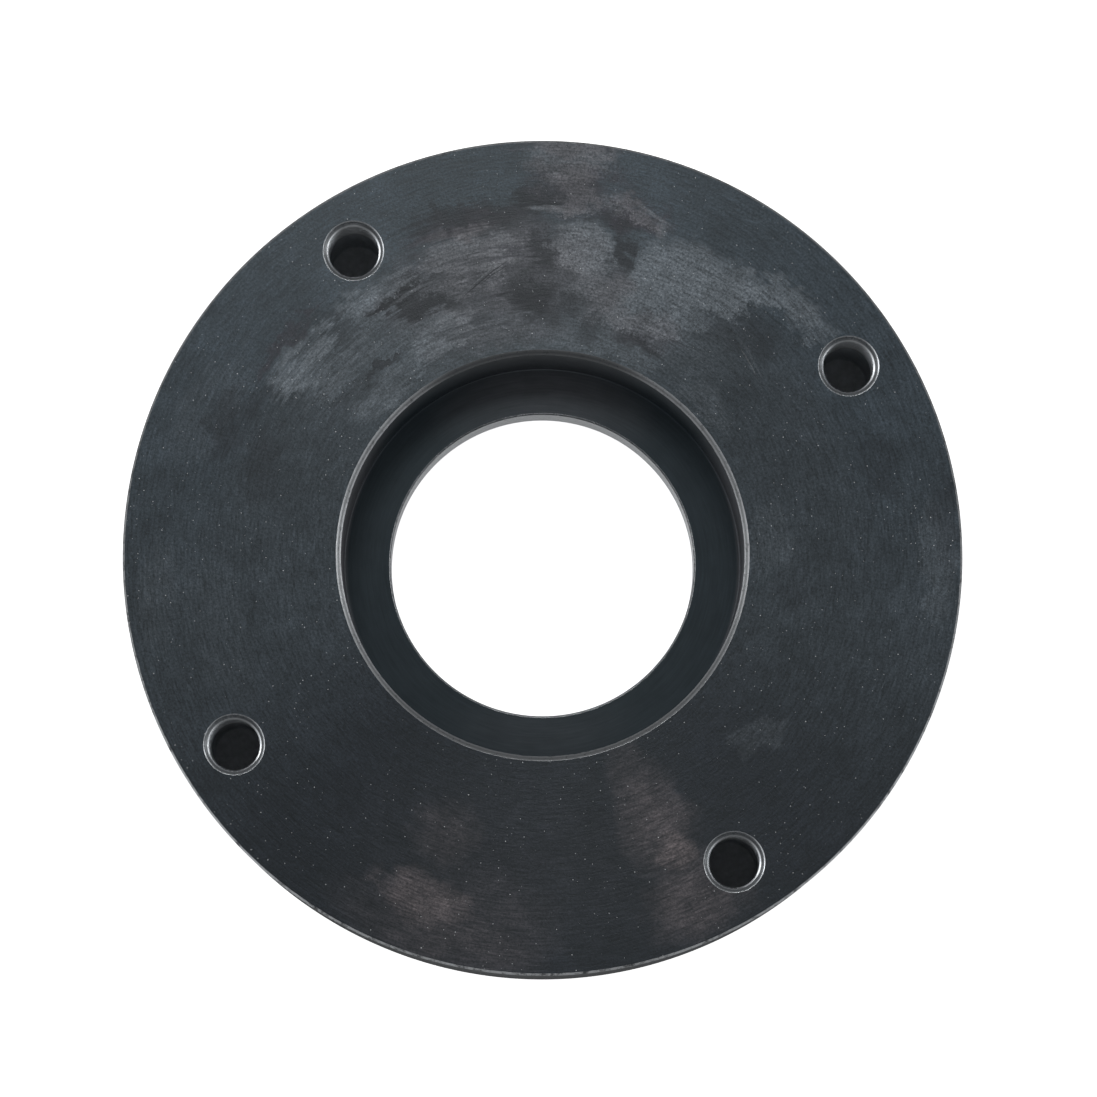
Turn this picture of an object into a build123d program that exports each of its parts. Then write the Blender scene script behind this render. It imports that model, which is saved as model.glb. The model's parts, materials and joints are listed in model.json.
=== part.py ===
from build123d import *
import os

# Floor flange, one piece of blackened steel, turned and then drilled.
# Millimetres.  The origin is the centre of the flat back face and +Z points
# out of the front face, the face that carries the stepped seat and the four
# tapped holes.  The holes sit on the diagonals between +X and +Y.

# Disc
outer_d = 178.0
thickness = 31.0
edge_chamfer = 0.4

# Stepped middle: a wide seat sunk in the front face, then a smaller bore
seat_d = 85.6
seat_depth = 21.2
seat_rim_chamfer = 1.0
seat_corner_radius = 0.4
bore_d = 65.4
bore_chamfer = 0.35

# Four blind holes tapped 1/2-13 UNC, drawn at the inner diameter of the thread
hole_count = 4
first_hole_angle = 45.0
bolt_circle_d = 153.2
thread_inner_d = 10.6
thread_depth = 10.5
pocket_d = 11.5
hole_depth = 28.4
countersink_d = 13.0

# Levels and radii that follow from the sizes above
outer_r = outer_d / 2
seat_r = seat_d / 2
bore_r = bore_d / 2
seat_z = thickness - seat_depth
countersink_depth = (countersink_d - thread_inner_d) / 2


def turned_blank():
    """Disc with broken outer edges, still without the stepped middle."""
    disc = Cylinder(
        outer_r,
        thickness,
        align=(Align.CENTER, Align.CENTER, Align.MIN),
    )
    rims = disc.edges().filter_by(GeomType.CIRCLE)
    return chamfer(rims, edge_chamfer)


def seat_cut():
    """Metal taken out for the wide seat, with its bevelled rim and rounded corner."""
    pocket = Pos(0, 0, seat_z) * Cylinder(
        seat_r,
        seat_depth,
        align=(Align.CENTER, Align.CENTER, Align.MIN),
    )
    floor_edge = pocket.edges().filter_by(GeomType.CIRCLE).sort_by(Axis.Z)[0]
    pocket = fillet(floor_edge, seat_corner_radius)
    rim = Pos(0, 0, thickness - seat_rim_chamfer) * Cone(
        seat_r,
        seat_r + seat_rim_chamfer,
        seat_rim_chamfer,
        align=(Align.CENTER, Align.CENTER, Align.MIN),
    )
    return pocket + rim


def bore_cut():
    """Metal taken out for the through bore, bevelled where it meets both faces."""
    drill = Cylinder(
        bore_r,
        seat_z,
        align=(Align.CENTER, Align.CENTER, Align.MIN),
    )
    top_bevel = Pos(0, 0, seat_z - bore_chamfer) * Cone(
        bore_r,
        bore_r + bore_chamfer,
        bore_chamfer,
        align=(Align.CENTER, Align.CENTER, Align.MIN),
    )
    back_bevel = Cone(
        bore_r + bore_chamfer,
        bore_r,
        bore_chamfer,
        align=(Align.CENTER, Align.CENTER, Align.MIN),
    )
    return drill + top_bevel + back_bevel


def tapped_hole_cut():
    """Metal taken out for one blind hole: countersink, thread, wider flat-ended pocket."""
    thread = Pos(0, 0, -thread_depth) * Cylinder(
        thread_inner_d / 2,
        thread_depth,
        align=(Align.CENTER, Align.CENTER, Align.MIN),
    )
    pocket = Pos(0, 0, -hole_depth) * Cylinder(
        pocket_d / 2,
        hole_depth - thread_depth,
        align=(Align.CENTER, Align.CENTER, Align.MIN),
    )
    countersink = Pos(0, 0, -countersink_depth) * Cone(
        thread_inner_d / 2,
        countersink_d / 2,
        countersink_depth,
        align=(Align.CENTER, Align.CENTER, Align.MIN),
    )
    return thread + pocket + countersink


def flange_body():
    """The whole flange, the only piece of the object."""
    body = turned_blank() - seat_cut() - bore_cut()
    hole = tapped_hole_cut()
    bolt_circle = PolarLocations(bolt_circle_d / 2, hole_count, start_angle=first_hole_angle)
    for place in bolt_circle:
        body -= Pos(0, 0, thickness) * place * hole
    return body.solid()


def main():
    os.makedirs("parts", exist_ok=True)
    export_step(flange_body(), "parts/flange_body.step")


main()
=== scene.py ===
import json
import math

import bmesh
import bpy
from mathutils import Matrix, Vector, noise


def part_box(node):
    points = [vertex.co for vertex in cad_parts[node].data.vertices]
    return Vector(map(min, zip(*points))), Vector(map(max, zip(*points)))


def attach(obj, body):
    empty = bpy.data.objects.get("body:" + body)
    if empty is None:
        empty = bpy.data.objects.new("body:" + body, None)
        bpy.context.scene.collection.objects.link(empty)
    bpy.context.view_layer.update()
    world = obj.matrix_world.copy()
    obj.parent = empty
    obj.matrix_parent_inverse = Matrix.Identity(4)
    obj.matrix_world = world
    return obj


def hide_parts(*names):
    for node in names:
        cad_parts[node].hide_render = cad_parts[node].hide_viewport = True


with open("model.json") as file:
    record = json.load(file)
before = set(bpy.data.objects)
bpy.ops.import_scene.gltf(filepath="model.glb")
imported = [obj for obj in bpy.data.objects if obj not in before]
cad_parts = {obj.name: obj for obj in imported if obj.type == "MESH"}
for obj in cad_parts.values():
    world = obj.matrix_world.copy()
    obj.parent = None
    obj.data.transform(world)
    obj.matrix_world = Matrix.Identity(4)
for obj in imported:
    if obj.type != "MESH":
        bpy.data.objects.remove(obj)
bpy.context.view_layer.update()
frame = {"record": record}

# A blackened steel floor flange: one turned plate with four blind tapped holes.
# Everything is in metres, in the frame of the CAD part: the back face lies on
# z = 0, the bore runs along z, and the tapped holes sit on the diagonals.

MM = 0.001

# What the frame says of the plate: its highest corner and its mounts' sizes in mm
TOP_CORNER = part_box("flange_body")[1]
MOUNTS = {mount["name"]: mount["dims"] for mount in frame["record"]["mounts"]}
HOLE_CIRCLE = MOUNTS["tapped_hole_circle"]

# Sizes of the turned plate
THICKNESS = TOP_CORNER.z
OUTER_R = TOP_CORNER.x
EDGE_CHAMFER = 0.4 * MM
SEAT_R = MOUNTS["seat_register"]["r_mm"] * MM
SEAT_Z = THICKNESS - 21.2 * MM
SEAT_RIM_CHAMFER = 1.0 * MM
SEAT_CORNER_R = 0.4 * MM
BORE_R = MOUNTS["through_bore"]["r_mm"] * MM
BORE_CHAMFER = 0.35 * MM
BROKEN_EDGE_R = 0.09 * MM

# Chips in the worn edges: depth per unit of noise, fineness of the noise round the plate,
# and the level of noise at which a chip starts
CHIP_DEPTH = 0.16 * MM
CHIP_FINENESS = 45
CHIP_THRESHOLD = 0.18

# Sizes of the tapped holes: 1/2-13 UNC, on the plate's diagonals
HOLE_COUNT = HOLE_CIRCLE["count"]
FIRST_HOLE_ANGLE = math.radians(45)
BOLT_CIRCLE_R = HOLE_CIRCLE["pcd_mm"] / 2 * MM
THREAD_INNER_R = HOLE_CIRCLE["hole_r_mm"] * MM
THREAD_OUTER_R = 6.35 * MM
THREAD_PITCH = 25.4 / 13 * MM
THREAD_DEPTH = 10.5 * MM
THREAD_RUN_OUT = 0.5 * THREAD_PITCH
COUNTERSINK_R = 6.5 * MM
POCKET_R = 5.75 * MM
HOLE_DEPTH = 28.4 * MM
POCKET_STEP = 0.25 * MM
MOUTH_STEP = 0.04 * MM

# Shares of a thread's pitch where its flat crest ends, and where its flat root starts and ends
CREST_END = 0.25
ROOT_START = 0.5625
ROOT_END = 0.6875

# Fineness of the mesh: columns round the plate and round a hole, rows of one rounded
# corner and of one thread, and the shares of the pocket's depth that have a row
TURNS = 576
ARC_STEPS = 4
CORNER_ROWS = ARC_STEPS + 1
HOLE_TURNS = 96
ROWS_PER_PITCH = 14
POCKET_ROWS = (0.15, 0.4, 0.7, 0.985)

# Angle in radians of the first column of each hole
COLUMN_STARTS = (2.2, 1.1, 4.0, 0.3)

# Corners of the section whose edges are chipped, and the way that a chip moves them
CHIPPED_CORNERS = {0: 1, 1: 1, 10: -1}

# The camera stands almost straight above the plate, with a long lens. The plate is
# turned, then tilted by TILT towards LEAN, and its middle is a little off the view's
SENSOR_MM = 36.0
LENS_MM = 169.958
TILT = math.radians(6.27)
LEAN = math.radians(87.2)
PLATE_TURN = math.radians(13.23)
CAMERA_DISTANCE = 1097.2 * MM
PLATE_OFFSET = (-1.22 * MM, -1.24 * MM)


# ---------------------------------------------------------------- mesh


def rounded_corner(before, corner, after, radius):
    """Points and outward normals of the arc that breaks one corner of the section."""
    d_in = (corner - before).normalized()
    d_out = (after - corner).normalized()
    turn = math.atan2(d_in.x * d_out.y - d_in.y * d_out.x, d_in.dot(d_out))
    reach = radius * math.tan(abs(turn) / 2)
    start = corner - d_in * reach
    side = 1 if turn > 0 else -1
    centre = start + Vector((-d_in.y, d_in.x)) * side * radius
    out = []
    for step in range(ARC_STEPS + 1):
        a = turn * step / ARC_STEPS
        c, s = math.cos(a), math.sin(a)
        heading = Vector((d_in.x * c - d_in.y * s, d_in.x * s + d_in.y * c))
        outward = Vector((heading.y, -heading.x))
        point = centre + outward * side * radius
        out.append((point, outward))
    return out


def plate_section():
    """Half section of the plate as (point, normal), from the seat's rim to the outer edge."""
    # Each corner: radius from the axis, height, and radius of the arc that breaks it
    corners = [
        (SEAT_R + SEAT_RIM_CHAMFER, THICKNESS, BROKEN_EDGE_R),
        (SEAT_R, THICKNESS - SEAT_RIM_CHAMFER, BROKEN_EDGE_R),
        (SEAT_R, SEAT_Z, SEAT_CORNER_R),
        (BORE_R + BORE_CHAMFER, SEAT_Z, BROKEN_EDGE_R),
        (BORE_R, SEAT_Z - BORE_CHAMFER, BROKEN_EDGE_R),
        (BORE_R, BORE_CHAMFER, BROKEN_EDGE_R),
        (BORE_R + BORE_CHAMFER, 0.0, BROKEN_EDGE_R),
        (OUTER_R - EDGE_CHAMFER, 0.0, BROKEN_EDGE_R),
        (OUTER_R, EDGE_CHAMFER, BROKEN_EDGE_R),
        (OUTER_R, THICKNESS - EDGE_CHAMFER, BROKEN_EDGE_R),
        (OUTER_R - EDGE_CHAMFER, THICKNESS, BROKEN_EDGE_R),
    ]
    points = [Vector(corner[:2]) for corner in corners]
    section = []
    for i, corner in enumerate(corners):
        after = points[(i + 1) % len(points)]
        section += rounded_corner(points[i - 1], points[i], after, corner[2])
    return section


def chip(angle, row):
    """How far one row of the section is chipped back at an angle."""
    corner = row // CORNER_ROWS
    if corner not in CHIPPED_CORNERS:
        return 0.0
    at = Vector((math.cos(angle), math.sin(angle), 0)) * CHIP_FINENESS
    depth = max(noise.noise(at + Vector((0, 0, corner))) - CHIP_THRESHOLD, 0.0)
    return CHIPPED_CORNERS[corner] * CHIP_DEPTH * depth


def spin(bm, section, normals):
    """Turns the section round the axis and returns its rings of vertices."""
    rings = []
    for row, (point, outward) in enumerate(section):
        ring = []
        for k in range(TURNS):
            a = 2 * math.pi * k / TURNS
            r = point.x + chip(a, row)
            v = bm.verts.new((r * math.cos(a), r * math.sin(a), point.y))
            normals[v] = Vector((outward.x * math.cos(a), outward.x * math.sin(a), outward.y))
            ring.append(v)
        rings.append(ring)
    for low, high in zip(rings, rings[1:]):
        for k in range(TURNS):
            n = (k + 1) % TURNS
            bm.faces.new((low[k], low[n], high[n], high[k]))
    return rings


def thread_radius(angle, depth):
    """Radius of the tapped wall at an angle and a depth below the face."""
    place = (depth / THREAD_PITCH + angle / (2 * math.pi)) % 1.0
    if place < CREST_END:
        share = 0.0
    elif place < ROOT_START:
        share = (place - CREST_END) / (ROOT_START - CREST_END)
    elif place < ROOT_END:
        share = 1.0
    else:
        share = (1.0 - place) / (1.0 - ROOT_END)
    return THREAD_INNER_R + (THREAD_OUTER_R - THREAD_INNER_R) * share


def hole_rows():
    """Depths of the rows of one hole's wall, and the kind of wall at each."""
    mouth = COUNTERSINK_R - THREAD_INNER_R
    rows = [(0.0, "mouth"), (MOUTH_STEP, "mouth")]
    count = int(THREAD_DEPTH / THREAD_PITCH * ROWS_PER_PITCH)
    for i in range(1, count + 1):
        depth = THREAD_DEPTH * i / count
        kind = "mouth" if depth < mouth else "thread"
        rows.append((depth, kind))
    rows.append((THREAD_DEPTH + POCKET_STEP, "pocket"))
    for share in POCKET_ROWS:
        rows.append((THREAD_DEPTH + (HOLE_DEPTH - THREAD_DEPTH) * share, "pocket"))
    rows.append((HOLE_DEPTH, "corner"))
    return rows


def hole_radius(angle, depth, kind):
    """Radius of one hole's wall: the wider of the thread and the countersink, or the pocket."""
    if kind == "corner":
        return POCKET_R - POCKET_STEP
    if kind == "pocket":
        return POCKET_R
    left = THREAD_DEPTH - depth
    tapped = thread_radius(angle, depth)
    if left < THREAD_RUN_OUT:
        fade = max(left, 0.0) / THREAD_RUN_OUT
        tapped = THREAD_INNER_R + (tapped - THREAD_INNER_R) * fade
    return max(tapped, COUNTERSINK_R - depth)


def sink_hole(bm, centre, start, normals):
    """Wall and floor of one blind tapped hole. Returns the ring of its mouth."""
    rings = []
    kinds = []
    for depth, kind in hole_rows():
        ring = []
        for k in range(HOLE_TURNS):
            a = start + 2 * math.pi * k / HOLE_TURNS
            r = hole_radius(a, depth, kind)
            x = centre.x + r * math.cos(a)
            y = centre.y + r * math.sin(a)
            ring.append(bm.verts.new((x, y, THICKNESS - depth)))
        rings.append(ring)
        kinds.append(kind)
    for low, high, kind in zip(rings, rings[1:], kinds[1:]):
        for k in range(HOLE_TURNS):
            n = (k + 1) % HOLE_TURNS
            f = bm.faces.new((low[k], low[n], high[n], high[k]))
            wall = "pocket" if kind == "corner" else kind
            f.material_index = MATERIALS.index("hole_" + wall)
    centre_v = bm.verts.new((centre.x, centre.y, THICKNESS - HOLE_DEPTH))
    last = rings[-1]
    for k in range(HOLE_TURNS):
        f = bm.faces.new((last[k], last[(k + 1) % HOLE_TURNS], centre_v))
        f.material_index = MATERIALS.index("hole_floor")
    for v in rings[0]:
        normals[v] = Vector((0, 0, 1))
    return rings[0]


def loop_edges(bm, ring):
    """The closed loop of edges along a ring of vertices."""
    found = []
    for a, b in zip(ring, ring[1:] + ring[:1]):
        e = bm.edges.get((a, b)) or bm.edges.new((a, b))
        found.append(e)
    return found


def fill_face(bm, loops):
    """Flat front face between the outer edge, the seat's rim and the holes' mouths."""
    edges = []
    for ring in loops:
        edges += loop_edges(bm, ring)
    made = bmesh.ops.triangle_fill(bm, use_beauty=True, use_dissolve=False, edges=edges)
    for part in made["geom"]:
        if isinstance(part, bmesh.types.BMFace):
            part.material_index = MATERIALS.index("front_face")


MATERIALS = [
    "front_face",
    "seat_surface",
    "bare_rim",
    "bore_surface",
    "outer_wall",
    "edge",
    "hole_mouth",
    "hole_thread",
    "hole_pocket",
    "hole_floor",
]


def paint_section(rings, bm):
    """Gives each band of the turned plate its material, by the rows of the section."""
    bands = [
        ("bare_rim", 0, 2 * CORNER_ROWS - 1),
        ("seat_surface", 2 * CORNER_ROWS - 1, 3 * CORNER_ROWS + 1),
        ("bore_surface", 3 * CORNER_ROWS + 1, 6 * CORNER_ROWS + 1),
        ("outer_wall", 6 * CORNER_ROWS + 1, 9 * CORNER_ROWS + 1),
        ("edge", 9 * CORNER_ROWS + 1, 11 * CORNER_ROWS),
    ]
    order = {v: i for i, ring in enumerate(rings) for v in ring}
    for f in bm.faces:
        low = min(order[v] for v in f.verts)
        for name, start, end in bands:
            if start <= low < end:
                f.material_index = MATERIALS.index(name)


def build_plate():
    """The whole plate as one closed mesh."""
    bm = bmesh.new()
    normals = {}
    rings = spin(bm, plate_section(), normals)
    paint_section(rings, bm)
    loops = [rings[0], rings[-1]]
    for k in range(HOLE_COUNT):
        a = FIRST_HOLE_ANGLE + 2 * math.pi * k / HOLE_COUNT
        centre = Vector((BOLT_CIRCLE_R * math.cos(a), BOLT_CIRCLE_R * math.sin(a), 0))
        loops.append(sink_hole(bm, centre, COLUMN_STARTS[k], normals))
    fill_face(bm, loops)
    bmesh.ops.recalc_face_normals(bm, faces=bm.faces)
    for f in bm.faces:
        f.smooth = True
    bm.verts.index_update()
    kept = {v.index: n for v, n in normals.items()}
    mesh = bpy.data.meshes.new("flange_plate")
    bm.to_mesh(mesh)
    bm.free()
    smooth = [kept.get(v.index, v.normal) for v in mesh.vertices]
    mesh.normals_split_custom_set_from_vertices([tuple(n) for n in smooth])
    plate = bpy.data.objects.new("flange_plate", mesh)
    bpy.context.scene.collection.objects.link(plate)
    return plate


# ---------------------------------------------------------------- materials


class Nodes:
    """A node tree with short calls for the nodes used here."""

    def __init__(self, tree):
        self.tree = tree
        self.tree.nodes.clear()

    def node(self, kind, **settings):
        made = self.tree.nodes.new(kind)
        for key, value in settings.items():
            setattr(made, key, value)
        return made

    def put(self, socket, value):
        if isinstance(value, bpy.types.NodeSocket):
            self.tree.links.new(value, socket)
        elif value is not None:
            socket.default_value = value

    def math(self, op, a, b=None, c=None, clamp=False):
        made = self.node("ShaderNodeMath", operation=op, use_clamp=clamp)
        for socket, value in zip(made.inputs, (a, b, c)):
            self.put(socket, value)
        return made.outputs[0]

    def vector(self, op, a, b=None):
        made = self.node("ShaderNodeVectorMath", operation=op)
        self.put(made.inputs[0], a)
        if b is not None:
            self.put(made.inputs["Scale"] if op == "SCALE" else made.inputs[1], b)
        return made.outputs["Value"] if op in ("LENGTH", "DOT_PRODUCT") else made.outputs[0]

    def join(self, x, y, z):
        made = self.node("ShaderNodeCombineXYZ")
        for socket, value in zip(made.inputs, (x, y, z)):
            self.put(socket, value)
        return made.outputs[0]

    def split(self, value):
        made = self.node("ShaderNodeSeparateXYZ")
        self.put(made.inputs[0], value)
        return made.outputs

    def noise(self, at, scale, detail=3.0, roughness=0.55, warp=0.0):
        made = self.node("ShaderNodeTexNoise")
        self.put(made.inputs["Vector"], at)
        made.inputs["Scale"].default_value = scale
        made.inputs["Detail"].default_value = detail
        made.inputs["Roughness"].default_value = roughness
        made.inputs["Distortion"].default_value = warp
        return made.outputs

    def spots(self, at, scale, dimensions):
        made = self.node("ShaderNodeTexVoronoi", voronoi_dimensions=dimensions)
        self.put(made.inputs["Vector"], at)
        made.inputs["Scale"].default_value = scale
        return made.outputs

    def fit(self, value, low, high, to_low=0.0, to_high=1.0, soft=True):
        way = "SMOOTHSTEP" if soft else "LINEAR"
        made = self.node("ShaderNodeMapRange", interpolation_type=way)
        for socket, number in zip(made.inputs, (value, low, high, to_low, to_high)):
            self.put(socket, number)
        return made.outputs[0]

    def mix(self, share, a, b):
        made = self.node("ShaderNodeMix", data_type="RGBA")
        self.put(made.inputs["Factor"], share)
        self.put(made.inputs[6], a)
        self.put(made.inputs[7], b)
        return made.outputs[2]

    def mix_value(self, share, a, b):
        made = self.node("ShaderNodeMix", data_type="FLOAT")
        self.put(made.inputs[0], share)
        self.put(made.inputs[2], a)
        self.put(made.inputs[3], b)
        return made.outputs[0]

    def shaded(self, colour, shade):
        return self.vector("SCALE", colour, shade)

    def bump(self, height, distance):
        made = self.node("ShaderNodeBump")
        made.inputs["Strength"].default_value = 1.0
        made.inputs["Distance"].default_value = distance
        self.put(made.inputs["Height"], height)
        return made.outputs[0]


class Shader(Nodes):
    """A material and its node tree."""

    def __init__(self, name):
        self.material = bpy.data.materials.new(name)
        self.material.use_nodes = True
        super().__init__(self.material.node_tree)
        self.out = self.node("ShaderNodeOutputMaterial")

    def surface(self, colour, roughness, normal=None, metallic=None):
        made = self.node("ShaderNodeBsdfPrincipled")
        self.put(made.inputs["Base Color"], colour)
        self.put(made.inputs["Roughness"], roughness)
        self.put(made.inputs["Metallic"], metallic)
        self.put(made.inputs["Normal"], normal)
        self.tree.links.new(made.outputs[0], self.out.inputs["Surface"])
        return made


def grey(level, blue=0.0, red=0.0):
    """A grey of that level, leaning a little to blue or red."""
    return (level * (1 + red - blue), level, level * (1 + blue - 0.5 * red), 1.0)


def place_mm(s):
    """Object position in millimetres."""
    at = s.node("ShaderNodeTexCoord").outputs["Object"]
    return s.vector("SCALE", at, 1 / MM)


def turned_place(s, at, round_share, across):
    """Coordinates that run along the lathe's lines: slow round the axis, quick across them."""
    x, y, z = s.split(at)
    r = s.math("SQRT", s.math("ADD", s.math("MULTIPLY", x, x), s.math("MULTIPLY", y, y)))
    ux = s.math("DIVIDE", x, r)
    uy = s.math("DIVIDE", y, r)
    return s.join(
        s.math("MULTIPLY", ux, round_share),
        s.math("MULTIPLY", uy, round_share),
        s.math("MULTIPLY", s.math("ADD", r, z), across),
    )


def brushed_round(s, principled, amount):
    """Stretches the gloss across the lathe's lines."""
    principled.inputs["Anisotropic"].default_value = amount
    principled.inputs["Anisotropic Rotation"].default_value = 0.25
    t = s.node("ShaderNodeTangent", direction_type="RADIAL", axis="Z")
    s.tree.links.new(t.outputs[0], principled.inputs["Tangent"])


# Patches of colour and wear. Each is: angle of its middle in degrees, radius of its
# middle, half length in degrees, half width, rise in mm per degree, strength. Radii and
# widths are in millimetres.

# Light grey oxide clouds. Those in the column at the top are also a painted highlight, the
# bright radial fan of the turned face
CLOUDS_AND_TOP_HIGHLIGHT = [
    (99.5, 85.0, 6.0, 6.0, 0.0, 0.66),
    (97.0, 77.5, 4.5, 3.5, 0.0, 0.42),
    (100.7, 74.3, 6.0, 0.9, 0.0, 0.60),
    (96.0, 66.0, 6.6, 6.6, 0.0, 1.00),
    (93.0, 57.0, 5.5, 6.5, -0.3, 0.72),
    (117.0, 66.3, 10.0, 6.8, 0.0, 0.96),
    (122.0, 59.5, 7.0, 3.6, 0.0, 0.55),
    (108.0, 67.5, 5.0, 5.0, 0.0, 0.35),
    (78.0, 64.5, 11.0, 10.0, -0.45, 0.85),
    (68.0, 69.5, 8.0, 6.5, -0.5, 0.90),
    (83.0, 56.0, 9.5, 7.0, -0.2, 0.76),
    (74.0, 57.5, 7.5, 5.5, -0.5, 0.62),
    (60.0, 75.5, 6.5, 4.5, -0.2, 0.68),
    (53.5, 75.0, 4.5, 5.0, 0.0, 0.34),
    (87.0, 76.3, 6.0, 2.0, 0.3, 0.45),
    (154.0, 65.5, 8.0, 5.0, 0.0, 0.80),
    (151.0, 59.0, 10.0, 4.5, 0.0, 0.50),
    (146.0, 48.5, 11.0, 4.0, 0.0, 0.46),
    (136.0, 66.0, 9.0, 4.2, 0.0, 0.70),
    (134.0, 61.5, 11.0, 2.0, 0.0, 0.42),
    (128.0, 51.5, 10.0, 4.6, -0.15, 0.90),
    (135.0, 56.0, 8.0, 2.6, 0.0, 0.42),
    (117.0, 48.5, 11.0, 3.6, 0.0, 0.42),
    (88.0, 47.0, 18.0, 3.4, 0.0, 0.36),
    (113.0, 57.0, 6.0, 3.5, 0.0, 0.30),
    (56.0, 47.5, 10.0, 3.4, 0.0, 0.22),
    (200.0, 82.5, 9.0, 5.0, 0.1, 0.12),
    (206.0, 71.0, 16.0, 7.0, 0.0, 0.06),
    (169.0, 78.0, 10.0, 6.0, 0.2, 0.12),
    (12.0, 84.0, 10.0, 3.6, 0.0, 0.18),
    (17.0, 48.0, 10.0, 5.0, 0.0, 0.14),
    (-27.0, 60.0, 7.0, 4.0, 0.2, 0.18),
]

# A painted highlight: a veil of grey over the whole upper left of the face, where the light
# falls from the top
PAINTED_HIGHLIGHT_HAZE = [(108.0, 57.0, 52.0, 16.0, 0.0, 0.26)]

# Inky gaps between the clouds
INKY = [
    (106.5, 55.5, 7.0, 5.6, 0.0, 0.92),
    (98.0, 52.5, 6.5, 3.2, -0.3, 0.60),
    (91.5, 48.7, 5.0, 2.4, -0.2, 0.50),
    (128.5, 58.8, 8.5, 3.2, 0.5, 0.90),
    (128.0, 64.6, 3.6, 1.6, 0.2, 0.55),
    (103.6, 65.0, 2.6, 5.5, 0.0, 0.75),
    (78.0, 48.9, 6.5, 1.9, 0.0, 0.70),
    (143.0, 53.0, 6.5, 1.2, 0.0, 0.75),
    (88.4, 67.5, 2.2, 6.2, 0.3, 0.80),
    (109.5, 72.0, 5.0, 3.6, 0.0, 0.45),
    (95.0, 71.8, 3.4, 2.2, 0.0, 0.45),
    (92.0, 73.5, 4.5, 1.8, 0.0, 0.60),
    (105.2, 75.6, 4.6, 4.0, 0.0, 0.92),
    (118.0, 75.4, 9.5, 2.8, 0.0, 0.75),
    (132.5, 62.3, 5.0, 2.0, 0.0, 1.00),
    (172.0, 73.0, 7.0, 4.0, 0.0, 0.45),
    (145.0, 64.0, 2.4, 7.0, 0.0, 0.35),
    (175.0, 63.0, 8.0, 5.0, 0.0, 0.32),
    (165.0, 68.5, 6.0, 2.4, 0.2, 0.32),
    (155.0, 53.5, 6.0, 1.9, 0.0, 0.30),
    (62.0, 62.5, 9.0, 6.0, -0.4, 0.34),
    (19.0, 86.0, 9.0, 2.6, 0.0, 0.30),
    (28.0, 74.0, 6.0, 4.5, 0.0, 0.25),
    (5.0, 53.0, 9.0, 4.0, 0.0, 0.15),
    (-85.0, 66.0, 12.0, 5.0, 0.0, 0.15),
]

# Brown fringes round the clouds
BROWN = [
    (115.0, 72.5, 13.0, 4.5, 0.0, 0.80),
    (98.0, 79.5, 8.0, 8.0, 0.0, 0.75),
    (99.5, 88.0, 9.0, 3.0, 0.0, 0.60),
    (88.0, 75.5, 8.0, 4.0, 0.0, 0.70),
    (106.0, 66.0, 7.0, 9.0, 0.0, 0.60),
    (154.0, 71.6, 9.0, 1.6, 0.0, 0.55),
    (126.0, 58.0, 12.0, 6.5, 0.5, 0.45),
    (90.0, 57.0, 7.0, 8.0, 0.0, 0.50),
    (80.0, 52.0, 10.0, 5.0, 0.0, 0.40),
    (115.0, 50.0, 20.0, 6.0, 0.0, 0.35),
    (112.0, 61.0, 27.0, 13.0, 0.0, 0.55),
]

# Thin light marks with clean outlines
LIGHT_MARKS = [
    (100.7, 74.4, 6.0, 0.8, 0.0, 0.80),
    (86.5, 77.4, 5.5, 0.5, 0.35, 0.60),
    (83.0, 74.0, 1.4, 2.6, 0.9, 0.60),
    (128.5, 62.8, 7.0, 0.5, -0.1, 0.50),
    (58.0, 61.5, 6.0, 0.4, 0.3, 0.22),
]

# Fine scratches cut slantwise across the lathe's lines: dark ones and pale ones
DARK_SCRATCHES = [
    (115.3, 60.4, 5.6, 0.20, -0.56, 0.85),
    (113.0, 61.0, 3.2, 0.16, -0.48, 0.70),
]
PALE_SCRATCHES = [
    (115.6, 60.9, 5.0, 0.16, -0.56, 0.55),
    (56.5, 60.2, 4.0, 0.16, 0.25, 0.45),
]

# Painted warm reflections: radial fans low on the face, where the turned face reflects something
# warm
WARM_REFLECTIONS = [
    (-96.0, 77.5, 9.5, 7.0, 0.0, 1.15),
    (-91.0, 83.0, 19.0, 9.0, 0.0, 0.38),
    (-85.0, 77.0, 15.0, 12.0, 0.0, 0.24),
    (-96.0, 62.5, 8.5, 9.0, 0.0, 0.36),
    (-52.8, 68.8, 5.6, 5.2, 0.0, 1.50),
    (-54.0, 61.0, 9.0, 17.0, 0.0, 0.62),
    (-53.0, 79.0, 10.0, 11.0, 0.0, 0.62),
    (-55.0, 50.0, 7.0, 9.0, 0.0, 0.36),
    (-78.0, 66.0, 40.0, 26.0, 0.0, 0.06),
]

# Where the bright edges are made darker and less metallic: most at the top of the seat's rim,
# and all round the outer edge except at the bottom
RIM_DULL = [
    (106.0, 43.3, 36.0, 3.0, 0.0, 0.82),
    (14.0, 43.3, 62.0, 3.0, 0.0, 0.30),
    (-90.0, 43.3, 60.0, 3.0, 0.0, 0.25),
]
EDGE_DULL = [(103.0, 89.0, 120.0, 4.0, 0.0, 0.75)]

# Painted sheen on the seat, greyer places that stand in for reflections: its floor at the top
# and the bottom, its wall at the left and the right
SEAT_PAINTED_SHEEN = [
    (103.0, 37.0, 42.0, 8.5, 0.0, 0.92),
    (-77.0, 37.0, 34.0, 8.0, 0.0, 0.30),
    (193.0, 43.2, 42.0, 1.3, 0.0, 1.25),
    (13.0, 43.2, 42.0, 1.3, 0.0, 1.25),
]


# The middle of the range of angles, so that no patch crosses the ends of the range
MIDDLE_ANGLE = 55.0


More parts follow.
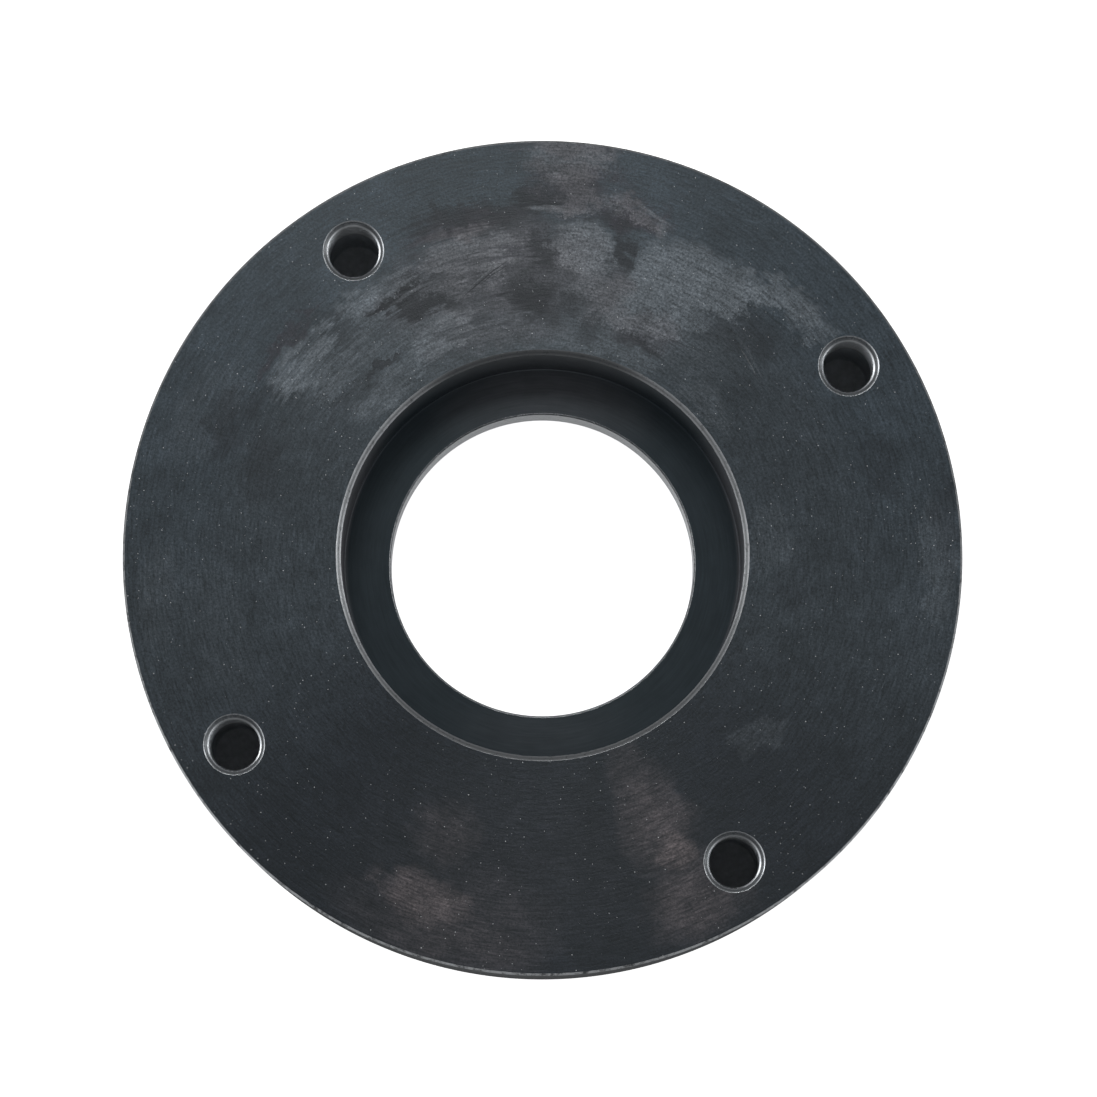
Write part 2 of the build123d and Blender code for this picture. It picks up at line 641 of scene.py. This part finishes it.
def polar_place(s, at):
    """Angle in degrees, running from -125 to 235, and radius in millimetres."""
    cos = math.cos(math.radians(MIDDLE_ANGLE))
    sin = math.sin(math.radians(MIDDLE_ANGLE))
    x, y = s.split(at)[:2]
    turned_x = s.math("MULTIPLY_ADD", x, cos, s.math("MULTIPLY", y, sin))
    turned_y = s.math("MULTIPLY_ADD", y, cos, s.math("MULTIPLY", x, -sin))
    turn = s.math("ARCTAN2", turned_y, turned_x)
    angle = s.math("MULTIPLY_ADD", turn, math.degrees(1), MIDDLE_ANGLE)
    radius = s.math("SQRT", s.math("MULTIPLY_ADD", x, x, s.math("MULTIPLY", y, y)))
    return angle, radius


# Where a patch has faded out, as the square of a share of its half length and width
PATCH_REACH = 1.25


def patch_field(s, angle, radius, patches, soft=0.35):
    """The strongest patch at each place. The lower soft is, the softer the borders are."""
    total = None
    for middle, middle_r, length, width, rise, strength in patches:
        along = s.math("MULTIPLY_ADD", angle, 1 / length, -middle / length)
        out = s.math("MULTIPLY_ADD", radius, 1 / width, -middle_r / width)
        if rise:
            out = s.math("MULTIPLY_ADD", along, -rise * length / width, out)
        far = s.math("MULTIPLY_ADD", out, out, s.math("MULTIPLY", along, along))
        patch = s.fit(far, PATCH_REACH, soft, 0.0, strength)
        total = patch if total is None else s.math("MAXIMUM", total, patch)
    return total


def centred(s, value, span):
    """Noise brought to swing about zero, by about a sixth of the span each way."""
    return s.math("MULTIPLY_ADD", value, span, -0.5 * span)


# Smallest and largest radius of a speck of dust, in millimetres
SPECK_RADII = (0.03, 0.105)


def dust_specks(s, at, cell, share, dimensions="3D"):
    """Tiny pale specks in crowds, a share of one to each cell of that many millimetres."""
    dust = s.spots(at, 1 / cell, dimensions)
    pick = s.split(dust["Color"])
    size = s.fit(pick[1], 0.0, 1.0, *SPECK_RADII, soft=False)
    speck = s.math("LESS_THAN", s.math("MULTIPLY", dust["Distance"], cell), size)
    crowd = s.noise(at, scale=0.11, detail=2.0)["Fac"]
    crowd = s.fit(crowd, 0.38, 0.62, 0.15 * share, 1.7 * share)
    chosen = s.math("LESS_THAN", pick[0], crowd)
    shown = s.math("MULTIPLY", speck, chosen)
    return s.math("MULTIPLY", shown, s.fit(pick[2], 0.0, 1.0, 0.3, 1.0))


# Angles in degrees between which the clouds' specks give way to streaks
STREAK_ANGLES = (98.0, 114.0)

# Colours of the front face
PLAIN_BLACK = grey(0.0375, blue=0.20)
BLUE_BLACK = grey(0.0405, blue=0.25)
# Painted shade colour for the bottom of the face
PAINTED_SHADE_BLACK = (0.0090, 0.0110, 0.0155, 1.0)
BROWN_BLACK = (0.0230, 0.0120, 0.0170, 1.0)
INK = (0.0055, 0.0038, 0.0060, 1.0)
# Greys of the clouds and of the painted highlight among them
CLOUD_AND_HIGHLIGHT_GREY = grey(0.137, blue=0.12)
CLOUD_AND_HIGHLIGHT_BROWN = (0.138, 0.129, 0.137, 1.0)
# Colour of the painted warm reflections
WARM_REFLECTION_GREY = (0.112, 0.094, 0.097, 1.0)
SCRATCH_GREY = grey(0.16, blue=0.06)
DUST_GREY = grey(0.72, blue=0.03)
FACE_SHEEN = (0.86, 0.96, 1.0, 1.0)
FACE_SPECULAR = 0.42


def face_patches(s, angle, radius, shift, grains):
    """Fields of the clouds with their painted highlight, the ink, the brown fringes and the
    painted warm reflections, each from 0 up.
    """
    streak, pits = grains["streak"], grains["pits"]
    streaky = s.fit(angle, *STREAK_ANGLES, 0.2, 1.0)
    pulled = s.math("MULTIPLY", centred(s, streak, 20.0), streaky)
    ragged = s.math("ADD", angle, s.math("ADD", pulled, centred(s, shift[0], 16.0)))
    jitter = s.math("ADD", centred(s, shift[1], 13.0), centred(s, pits, 4.0))
    ragged_r = s.math("ADD", radius, jitter)
    inky = patch_field(s, ragged, ragged_r, INKY, soft=0.12)
    brown = patch_field(s, ragged, ragged_r, BROWN, soft=0.0)

    # Oxide clouds, with a painted highlight in the column at the top of the face
    clouds_and_highlight = patch_field(s, ragged, ragged_r, CLOUDS_AND_TOP_HIGHLIGHT)
    # Painted highlight over the upper left, joined to the clouds
    clouds_and_highlight = s.math("MAXIMUM", clouds_and_highlight, patch_field(s, ragged, ragged_r, PAINTED_HIGHLIGHT_HAZE))
    clouds_and_highlight = s.math("MULTIPLY", clouds_and_highlight, s.math("SUBTRACT", 1.0, inky))
    speckled = s.mix_value(streaky, s.fit(pits, 0.34, 0.56, 0.62, 1.10), 1.0)
    streaked = s.mix_value(streaky, 1.0, s.fit(streak, 0.34, 0.61, 0.40, 1.27))
    clouds_and_highlight = s.math("MULTIPLY", s.math("MULTIPLY", clouds_and_highlight, speckled), streaked)
    near = s.math("ADD", angle, centred(s, shift[0], 3.0))
    near_r = s.math("ADD", radius, centred(s, shift[1], 2.4))
    clouds_and_highlight = s.math("MAXIMUM", clouds_and_highlight, patch_field(s, near, near_r, LIGHT_MARKS, soft=0.1))

    loose = s.math("ADD", angle, centred(s, shift[0], 11.0))
    loose_r = s.math("ADD", radius, centred(s, shift[1], 9.0))
    # Painted warm reflections: fans low on the face, broken up by the turning lines and the
    # mottle
    warm = patch_field(s, loose, loose_r, WARM_REFLECTIONS, soft=-0.7)
    fan_texture = s.math("ADD", grains["lines"], grains["mottle"])
    wear_and_warm_reflection = s.math("MULTIPLY", warm, s.fit(fan_texture, 0.75, 1.2, 0.55, 1.3, soft=False))
    return {"clouds_and_highlight": clouds_and_highlight, "inky": inky, "brown": brown, "wear_and_warm_reflection": wear_and_warm_reflection}


def face_colour(s, angle, radius, shift, patches):
    """Colour of the face before its grain: bluer at the top, with painted shade darkening it
    towards the bottom.
    """
    brown = patches["brown"]
    wear_and_warm_reflection = s.math("MULTIPLY", patches["wear_and_warm_reflection"], 0.95, clamp=True)
    bottom_way = math.degrees(PLATE_TURN) - 90
    from_bottom = s.math("MULTIPLY_ADD", angle, math.radians(1), math.radians(-bottom_way))
    downward = s.math("COSINE", from_bottom)
    blue = s.math("MULTIPLY", s.fit(radius, 62.0, 74.0), s.fit(downward, 0.35, -0.55))
    colour = s.mix(blue, PLAIN_BLACK, BLUE_BLACK)
    # Painted shade: darker towards the bottom, where less light falls
    colour = s.mix(s.fit(downward, 0.2, 0.8), colour, PAINTED_SHADE_BLACK)
    colour = s.mix(s.math("MULTIPLY", brown, 0.9), colour, BROWN_BLACK)
    colour = s.mix(patches["inky"], colour, INK)
    # Clouds, partly painted highlight
    colour = s.mix(patches["clouds_and_highlight"], colour, s.mix(brown, CLOUD_AND_HIGHLIGHT_GREY, CLOUD_AND_HIGHLIGHT_BROWN))
    # Painted warm reflection low on the face
    colour = s.mix(wear_and_warm_reflection, colour, WARM_REFLECTION_GREY)
    wander = s.math("ADD", radius, centred(s, shift[2], 0.8))
    colour = s.mix(patch_field(s, angle, wander, DARK_SCRATCHES), colour, INK)
    return s.mix(patch_field(s, angle, wander, PALE_SCRATCHES), colour, SCRATCH_GREY)


def face_shade(s, grains):
    """Light and dark of the turning lines, the grain and the mottle, about 1."""
    shade = s.fit(grains["lines"], 0.28, 0.72, 0.50, 1.50, soft=False)
    for name, low, high, darkest, lightest in [
        ("grain", 0.28, 0.72, 0.42, 1.58),
        ("mottle", 0.25, 0.75, 0.74, 1.28),
        ("broad", 0.3, 0.7, 0.80, 1.22),
    ]:
        part = s.fit(grains[name], low, high, darkest, lightest, soft=False)
        shade = s.math("MULTIPLY", shade, part)
    return shade


def front_face():
    """Blackened face: turning lines, oxide clouds, dust and scratches, with painted highlights,
    painted warm reflections and painted shade.
    """
    s = Shader("front_face")
    at = place_mm(s)
    fine_turned = turned_place(s, at, round_share=17.0, across=2.1)
    wide_turned = turned_place(s, at, round_share=7.0, across=0.9)
    grains = {
        "lines": s.noise(fine_turned, scale=1.0, detail=3.0, roughness=0.75)["Fac"],
        "streak": s.noise(wide_turned, scale=1.0, detail=5.0, roughness=0.66)["Fac"],
        "grain": s.noise(at, scale=1.9, detail=2.0, roughness=0.8)["Fac"],
        "pits": s.noise(at, scale=0.95, detail=3.0, roughness=0.8)["Fac"],
        "mottle": s.noise(at, scale=1 / 6, detail=6.0, roughness=0.66, warp=0.3)["Fac"],
        "broad": s.noise(at, scale=1 / 24, detail=4.0, roughness=0.6, warp=0.3)["Fac"],
    }
    shift = s.split(s.noise(at, scale=1 / 7, detail=6.0, roughness=0.68)["Color"])
    angle, radius = polar_place(s, at)
    patches = face_patches(s, angle, radius, shift, grains)
    colour = face_colour(s, angle, radius, shift, patches)
    colour = s.shaded(colour, face_shade(s, grains))
    coarse = dust_specks(s, at, cell=3.1, share=0.28, dimensions="2D")
    fine = dust_specks(s, at, cell=1.9, share=0.20, dimensions="2D")
    speck = s.math("MAXIMUM", coarse, fine)
    colour = s.mix(speck, colour, DUST_GREY)

    roughness = s.fit(patches["clouds_and_highlight"], 0.0, 0.9, 0.38, 0.5)
    roughness = s.math("ADD", roughness, centred(s, grains["lines"], 0.16))
    relief = s.math("ADD", grains["lines"], s.math("MULTIPLY", grains["grain"], 0.8))
    relief = s.math("ADD", relief, s.math("MULTIPLY", speck, 1.5))
    p = s.surface(colour, roughness, s.bump(relief, 0.040 * MM))
    p.inputs["Specular Tint"].default_value = FACE_SHEEN
    p.inputs["Specular IOR Level"].default_value = FACE_SPECULAR
    brushed_round(s, p, 0.5)
    return s.material


# Grey of the painted sheen on the seat
PAINTED_SHEEN_GREY = (0.086, 0.083, 0.091, 1.0)
TURNED_SHEEN = (0.76, 0.93, 1.0, 1.0)


def turned_black(name, level, roughness, blue=0.14, specular=0.5, painted_sheen=()):
    """Smooth blackened steel with the lathe's lines, and painted sheen where asked."""
    s = Shader(name)
    at = place_mm(s)
    turned = turned_place(s, at, round_share=5.0, across=2.6)
    lines = s.noise(turned, scale=1.0, detail=4.0, roughness=0.62)["Fac"]
    mottle = s.noise(at, scale=1 / 9, detail=4.0, roughness=0.6)["Fac"]
    shade = s.fit(lines, 0.25, 0.75, 0.75, 1.28, soft=False)
    shade = s.math("MULTIPLY", shade, s.fit(mottle, 0.25, 0.75, 0.82, 1.2, soft=False))
    colour = s.join(*grey(level, blue)[:3])
    if painted_sheen:
        angle, radius = polar_place(s, at)
        # Painted sheen: greyer patches that stand in for reflections
        sheen_mask = patch_field(s, angle, radius, painted_sheen, soft=-0.6)
        colour = s.mix(sheen_mask, colour, PAINTED_SHEEN_GREY)
    colour = s.shaded(colour, shade)
    speck = dust_specks(s, at, cell=3.2, share=0.3)
    colour = s.mix(s.math("MULTIPLY", speck, 0.5), colour, grey(0.3))
    rough = s.math("ADD", roughness, centred(s, lines, 0.16))
    p = s.surface(colour, rough, s.bump(lines, 0.008 * MM))
    p.inputs["Specular IOR Level"].default_value = specular
    p.inputs["Specular Tint"].default_value = TURNED_SHEEN
    brushed_round(s, p, 0.4)
    return s.material


# Radii in millimetres of the painted shade in a thread's roots: where the lit crest ends, and
# where the lit lip starts
CREST_EDGE = (5.58, 5.84)
LIP_EDGE = (6.22, 6.36)


def hole_place(s, at):
    """Distance from the nearest hole's axis, and how far that way is the photograph's up."""
    x, y = s.split(at)[:2]
    middle = BOLT_CIRCLE_R / MM * math.sin(FIRST_HOLE_ANGLE)
    dx = s.math("SUBTRACT", x, s.math("MULTIPLY", s.math("SIGN", x), middle))
    dy = s.math("SUBTRACT", y, s.math("MULTIPLY", s.math("SIGN", y), middle))
    away = s.join(dx, dy, 0.0)
    up = tuple(photo_side(90, 1, 0))
    upward = s.vector("DOT_PRODUCT", s.vector("NORMALIZE", away), up)
    return s.vector("LENGTH", away), upward


# Radius in millimetres of the dull line half way down the rim's bevel
GROOVE_R = 43.3


def bare_steel(
    name, level, dark_share, roughness, size, dark=0.05, groove_r=None, tapped=False, dull=()
):
    """Steel worn bright in patches; dull along a groove or where asked; in tapped holes, painted
    shade in the thread's roots and on each hole's upper side.
    """
    s = Shader(name)
    at = place_mm(s)
    wear_and_warm_reflection = s.noise(at, scale=1 / size, detail=5.0, roughness=0.7, warp=0.3)["Fac"]
    turned = turned_place(s, at, round_share=12.0, across=7.0)
    lines = s.noise(turned, scale=1.0, detail=3.0, roughness=0.6)["Fac"]
    share = s.fit(s.math("MULTIPLY_ADD", lines, 0.4, wear_and_warm_reflection), dark_share, dark_share + 0.25)
    if groove_r is not None or dull:
        angle, radius = polar_place(s, at)
    if groove_r is not None:
        off = s.math("ABSOLUTE", s.math("SUBTRACT", radius, groove_r))
        share = s.math("MULTIPLY", share, s.fit(off, 0.08, 0.34, 0.45, 1.0))
    if tapped:
        from_axis, upward = hole_place(s, at)
        # Painted shade: only the thread's crest and the lip stay bright, and each hole's upper
        # side is darker
        lit_crest = s.fit(from_axis, *CREST_EDGE, 1.0, 0.05)
        lit_lip = s.fit(from_axis, *LIP_EDGE)
        share = s.math("MULTIPLY", share, s.math("MAXIMUM", lit_crest, lit_lip))
        share = s.math("MULTIPLY", share, s.fit(upward, 0.35, 0.92, 1.0, 0.22))
    if dull:
        bright = s.math("SUBTRACT", 1.0, patch_field(s, angle, radius, dull))
        share = s.math("MULTIPLY", share, bright)
    colour = s.mix(share, grey(dark, blue=0.08), grey(level, blue=0.03))
    metal = s.fit(share, 0.0, 1.0, 0.35, 1.0, soft=False)
    rough = s.fit(wear_and_warm_reflection, 0.3, 0.7, roughness + 0.1, roughness - 0.06, soft=False)
    normal = s.bump(s.math("MULTIPLY_ADD", lines, 0.5, wear_and_warm_reflection), 0.02 * MM)
    s.surface(colour, rough, normal, metal)
    return s.material


def hole_black(name, level, roughness, red=0.0):
    """Rough dark metal inside a hole."""
    s = Shader(name)
    at = place_mm(s)
    mottle = s.noise(at, scale=0.9, detail=4.0, roughness=0.6)["Fac"]
    shade = s.fit(mottle, 0.25, 0.75, 0.8, 1.2, soft=False)
    colour = s.shaded(s.join(*grey(level, 0.06, red)[:3]), shade)
    normal = s.bump(mottle, 0.03 * MM)
    s.surface(colour, s.fit(mottle, 0.3, 0.7, roughness, roughness + 0.15), normal)
    return s.material


def dress(plate):
    """Puts the materials on the plate, in the order its faces point to."""
    made = {
        "front_face": front_face(),
        "seat_surface": turned_black(
            "seat_surface", level=0.024, roughness=0.36, blue=0.24, specular=0.36,
            painted_sheen=SEAT_PAINTED_SHEEN,
        ),
        "bare_rim": bare_steel(
            "bare_rim", level=0.52, dark_share=0.42, roughness=0.30, size=1.3,
            groove_r=GROOVE_R, dull=RIM_DULL,
        ),
        "bore_surface": bare_steel(
            "bore_surface", level=0.60, dark_share=0.35, roughness=0.22, size=1.5,
        ),
        "outer_wall": turned_black(
            "outer_wall", level=0.018, roughness=0.52, specular=0.18,
        ),
        "edge": bare_steel(
            "edge", level=0.55, dark_share=0.50, roughness=0.32, size=1.6, dull=EDGE_DULL,
        ),
        "hole_mouth": bare_steel(
            "hole_mouth", level=0.95, dark_share=0.20, roughness=0.26, size=1.0, dark=0.10,
            tapped=True,
        ),
        "hole_thread": bare_steel(
            "hole_thread", level=0.92, dark_share=0.24, roughness=0.34, size=0.8, dark=0.08,
            tapped=True,
        ),
        "hole_pocket": hole_black("hole_pocket", level=0.40, roughness=0.6),
        "hole_floor": hole_black("hole_floor", level=0.46, roughness=0.6, red=0.02),
    }
    for name in MATERIALS:
        plate.data.materials.append(made[name])


# ---------------------------------------------------------------- studio


def camera_axes():
    """Directions of the part's x, y and z axes as the camera sees them."""
    z_axis = Vector(
        (math.sin(TILT) * math.cos(LEAN), math.sin(TILT) * math.sin(LEAN), math.cos(TILT))
    )
    right = Vector((0, 1, 0)).cross(z_axis).normalized()
    up = z_axis.cross(right)
    x_axis = right * math.cos(PLATE_TURN) - up * math.sin(PLATE_TURN)
    y_axis = right * math.sin(PLATE_TURN) + up * math.cos(PLATE_TURN)
    return x_axis, y_axis, z_axis


def set_camera():
    """Long lens, almost straight down, as in the photograph."""
    x_axis, y_axis, z_axis = camera_axes()
    seen = Matrix((x_axis, y_axis, z_axis)).transposed()
    face_middle = Vector((*PLATE_OFFSET, -CAMERA_DISTANCE))
    part_origin = face_middle - z_axis * THICKNESS
    to_camera = Matrix.Translation(part_origin) @ seen.to_4x4()
    data = bpy.data.cameras.new("camera")
    data.sensor_width = SENSOR_MM
    data.lens = LENS_MM
    data.clip_start = 0.01
    data.clip_end = 50.0
    camera = bpy.data.objects.new("camera", data)
    bpy.context.scene.collection.objects.link(camera)
    camera.matrix_world = to_camera.inverted()
    bpy.context.scene.camera = camera


def photo_side(angle, far, height):
    """A place round the plate: angle 0 is the photograph's right and 90 its top."""
    a = math.radians(angle) + PLATE_TURN
    return Vector((far * math.cos(a), far * math.sin(a), height))


# Each softbox: name, photo_side's angle, distance and height, side in metres, and watts
SOFTBOXES = [
    ("softbox_top", 100, 0.55, 1.05, 0.5, 3.6),
    ("softbox_low", 268, 0.75, 0.95, 0.4, 0.9),
    ("softbox_left", 170, 1.1, 0.45, 0.6, 2.5),
    ("softbox_right", 10, 1.1, 0.45, 0.6, 2.0),
]
TENT_COLOUR = (0.97, 0.985, 1.0, 1.0)
TENT_SEEN = 1.1


def softbox(name, angle, far, height, size, power):
    """A soft square light that faces the plate."""
    data = bpy.data.lights.new(name, "AREA")
    data.shape = "SQUARE"
    data.size = size
    data.energy = power
    lamp = bpy.data.objects.new(name, data)
    bpy.context.scene.collection.objects.link(lamp)
    lamp.location = photo_side(angle, far, height)
    lamp.rotation_euler = (-lamp.location).to_track_quat("-Z", "Y").to_euler()


def light_studio():
    """Four softboxes in a white tent that is brightest low on the left and right."""
    for row in SOFTBOXES:
        softbox(*row)
    world = bpy.data.worlds.new("tent")
    world.use_nodes = True
    bpy.context.scene.world = world
    s = Nodes(world.node_tree)
    way = s.node("ShaderNodeTexCoord").outputs["Generated"]
    across = tuple(photo_side(0, 1, 0))
    side = s.math("ABSOLUTE", s.vector("DOT_PRODUCT", way, across))
    height = s.split(way)[2]
    strength = s.fit(height, 0.35, 0.9, 0.19, 0.27)
    strength = s.math("ADD", strength, s.fit(side, 0.45, 0.95, 0.0, 0.50))
    seen = s.node("ShaderNodeLightPath").outputs["Is Camera Ray"]
    strength = s.math("MAXIMUM", strength, s.math("MULTIPLY", seen, TENT_SEEN))
    background = s.node("ShaderNodeBackground")
    background.inputs["Color"].default_value = TENT_COLOUR
    s.put(background.inputs["Strength"], strength)
    out = s.node("ShaderNodeOutputWorld")
    s.tree.links.new(background.outputs[0], out.inputs["Surface"])


# The floor is a hair below the plate, so that the two faces do not coincide
FLOOR_R = 8.0
FLOOR_SIDES = 96
FLOOR_Z = -0.05 * MM
FLOOR_GLOW = 0.12
FLOOR_GLOW_SEEN = 0.9


def lay_floor():
    """Plain pale floor that photographs as pure white."""
    bm = bmesh.new()
    ring = []
    for k in range(FLOOR_SIDES):
        a = 2 * math.pi * k / FLOOR_SIDES
        ring.append(bm.verts.new((FLOOR_R * math.cos(a), FLOOR_R * math.sin(a), FLOOR_Z)))
    bm.faces.new(ring)
    mesh = bpy.data.meshes.new("floor")
    bm.to_mesh(mesh)
    bm.free()
    floor = bpy.data.objects.new("floor", mesh)
    bpy.context.scene.collection.objects.link(floor)
    s = Shader("floor")
    at = s.node("ShaderNodeTexCoord").outputs["Object"]
    cloudy = s.noise(at, scale=6.0, detail=2.0)["Fac"]
    p = s.surface(s.mix(cloudy, grey(0.80), grey(0.82)), 0.9)
    p.inputs["Emission Color"].default_value = (1, 1, 1, 1)
    seen = s.node("ShaderNodeLightPath").outputs["Is Camera Ray"]
    glow = s.fit(seen, 0.0, 1.0, FLOOR_GLOW, FLOOR_GLOW_SEEN)
    s.put(p.inputs["Emission Strength"], glow)
    floor.data.materials.append(s.material)


plate = build_plate()
dress(plate)
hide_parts("flange_body")
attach(plate, "root")
lay_floor()
light_studio()
set_camera()
bpy.context.scene.view_settings.view_transform = "Standard"
